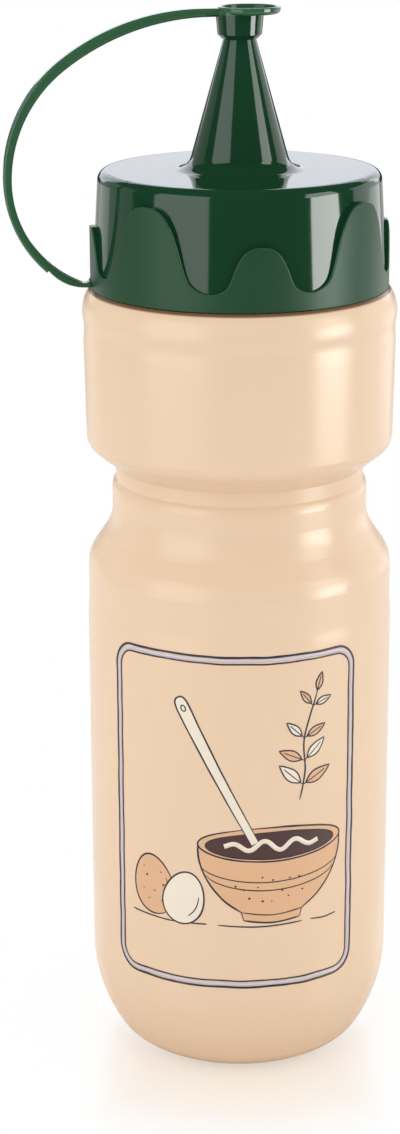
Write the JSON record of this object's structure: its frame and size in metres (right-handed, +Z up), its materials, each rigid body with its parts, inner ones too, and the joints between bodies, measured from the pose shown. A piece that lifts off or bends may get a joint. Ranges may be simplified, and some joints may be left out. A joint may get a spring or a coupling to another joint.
{
  "type": "squeeze bottle",
  "caption": "Upright sauce squeeze bottle with rounded heel, finger waist and collar, and a scalloped cone nozzle cap whose tip is shut by a plug on a strap.",
  "frame": {"origin": "centre of the standing ring, on the bottle's axis, in the plane it stands on", "axes": "+Z up through the nozzle; -Y is the printed front; the strap loops out towards -X, 8.2 degrees round towards -Y"},
  "size_m": [0.0822, 0.0666, 0.2289],
  "materials": {
    "bottle": "satin",
    "cap": "gloss"
  },
  "bodies": {
    "root": {"bottle": "bottle", "cap": "cap"}
  },
  "joints": []
}
